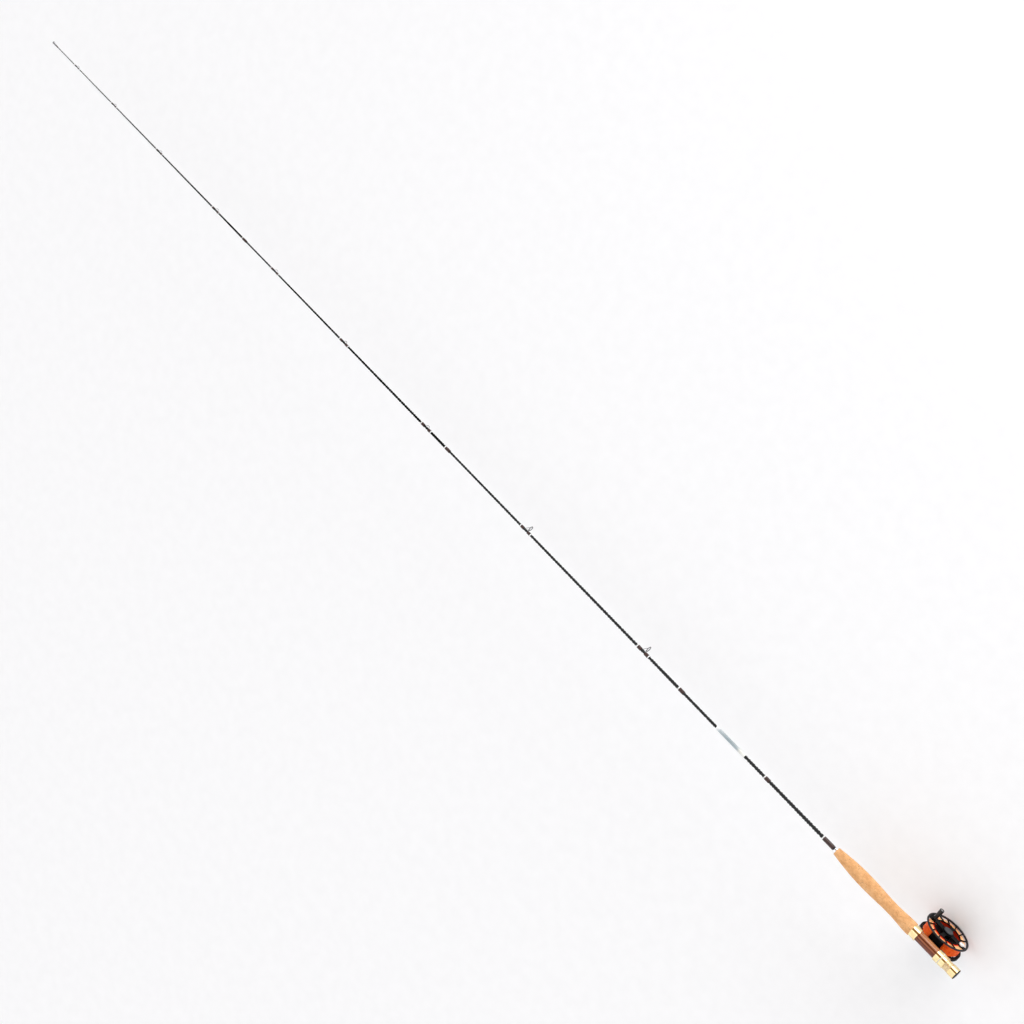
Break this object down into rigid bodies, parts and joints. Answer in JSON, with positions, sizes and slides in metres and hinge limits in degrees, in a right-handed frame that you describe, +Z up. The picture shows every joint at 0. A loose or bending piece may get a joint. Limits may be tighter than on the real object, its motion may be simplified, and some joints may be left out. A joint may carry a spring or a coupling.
{
  "type": "fly fishing rod and reel",
  "caption": "Long four-piece fly rod with cork grip, screw-locking reel seat, line guides and a large-arbor fly reel with wound line.",
  "frame": {"origin": "centre of the end face of the butt button", "axes": "+X along the rod towards the tip, +Z up with the reel hanging towards -Z, the reel's handle side towards -Y"},
  "size_m": [2.7427, 0.0562, 0.1096],
  "materials": {
    "graphite": "gloss clear coat over graphite",
    "wrap_thread": "burgundy thread under gloss resin",
    "trim_thread": "silver-white metallic thread under resin",
    "label_foil": "satin silver foil",
    "guide_wire": "hard chromed wire",
    "hard_ring": "polished ceramic",
    "cork": "sanded cork, unfinished",
    "seat_wood": "oiled and polished dark red-brown hardwood",
    "gold_metal": "polished, pale gold anodised",
    "gold_thread": "machined thread, champagne anodised",
    "silver_metal": "bright silver",
    "black_rubber": "matt black",
    "foam": "hard foam arbor",
    "black_metal": "satin black anodised",
    "cap_grey": "satin dark grey anodised",
    "orange_metal": "satin orange anodised",
    "fly_line": "orange coated line",
    "steel": "turned steel",
    "bronze": "sintered bronze",
    "washer_plastic": "pale acetal",
    "handle_black": "satin black"
  },
  "bodies": {
    "rod": {"blank_butt": "graphite", "wraps_butt": "wrap_thread", "trims_butt": "trim_thread", "label_band": "label_foil", "winding_check": "silver_metal", "cork_grip": "cork", "threaded_barrel": "gold_thread", "wood_insert": "seat_wood", "seat_arbor": "foam", "fixed_hood": "gold_metal", "butt_cap": "gold_metal", "butt_button": "black_rubber", "reel_foot": "black_metal", "foot_screws": "steel", "reel_frame": "black_metal", "spindle": "steel", "retaining_clip": "steel", "brake_plate": "steel", "belleville_springs": "steel", "thrust_ring": "steel", "drag_pins": "steel", "knob_washer": "steel", "knob_screw": "steel"},
    "hood": {"sliding_hood": "gold_metal", "slip_washer": "washer_plastic"},
    "nut": {"locking_nut": "gold_metal"},
    "second_section": {"blank_second": "graphite", "wraps_second": "wrap_thread", "trims_second": "trim_thread", "stripping_frame_large": "guide_wire", "stripping_ring_large": "hard_ring", "stripping_frame_small": "guide_wire", "stripping_ring_small": "hard_ring"},
    "third_section": {"blank_third": "graphite", "wraps_third": "wrap_thread", "trims_third": "trim_thread", "snake_guides_third": "guide_wire"},
    "tip_section": {"blank_tip": "graphite", "wraps_tip": "wrap_thread", "trims_tip": "trim_thread", "snake_guides_tip": "guide_wire", "tip_top": "guide_wire"},
    "spool": {"spool_face": "black_metal", "spool_hub": "black_metal", "arbor_drum": "orange_metal", "drum_screws": "steel", "rear_flange": "black_metal", "spool_bushings": "bronze", "clutch_race": "steel", "clutch_rollers": "steel", "hub_cap": "cap_grey", "line_winding": "fly_line", "handle_pin": "steel", "counterweight": "silver_metal"},
    "handle": {"handle_knob": "handle_black"},
    "drag_hub": {"drag_hub": "steel", "cork_drag_washer": "cork"},
    "drag_knob": {"drag_knob": "black_metal"}
  },
  "joints": [
    {"name": "nut_spin", "type": "hinge", "parent": "hood", "child": "nut", "pos_m": [0.03, 0, 0], "axis": [1, 0, 0], "range_deg": [0, 2880]},
    {"name": "hood_slide", "type": "slide", "parent": "rod", "child": "hood", "axis": [-1, 0, 0], "range_m": [0, 0.008]},
    {"name": "first_ferrule", "type": "slide", "parent": "rod", "child": "second_section", "axis": [1, 0, 0], "range_m": [0, 0.075]},
    {"name": "middle_ferrule", "type": "slide", "parent": "second_section", "child": "third_section", "axis": [1, 0, 0], "range_m": [0, 0.075]},
    {"name": "tip_ferrule", "type": "slide", "parent": "third_section", "child": "tip_section", "axis": [1, 0, 0], "range_m": [0, 0.075]},
    {"name": "spool_spin", "type": "hinge", "parent": "rod", "child": "spool", "pos_m": [0.064, 0, -0.0548], "axis": [0, 1, 0], "continuous": true},
    {"name": "handle_spin", "type": "hinge", "parent": "spool", "child": "handle", "pos_m": [0.0943, -0.03, -0.0536], "axis": [0, 1, 0], "continuous": true},
    {"name": "drag_hub_spin", "type": "hinge", "parent": "rod", "child": "drag_hub", "pos_m": [0.064, 0, -0.0548], "axis": [0, 1, 0], "continuous": true},
    {"name": "drag_knob_turn", "type": "hinge", "parent": "rod", "child": "drag_knob", "pos_m": [0.064, 0.014, -0.0548], "axis": [0, 1, 0], "range_deg": [0, 320]}
  ],
  "couplings": [
    {"joint": "hood_slide", "follows": "nut_spin", "m_per_rad": 0.00015915}
  ]
}
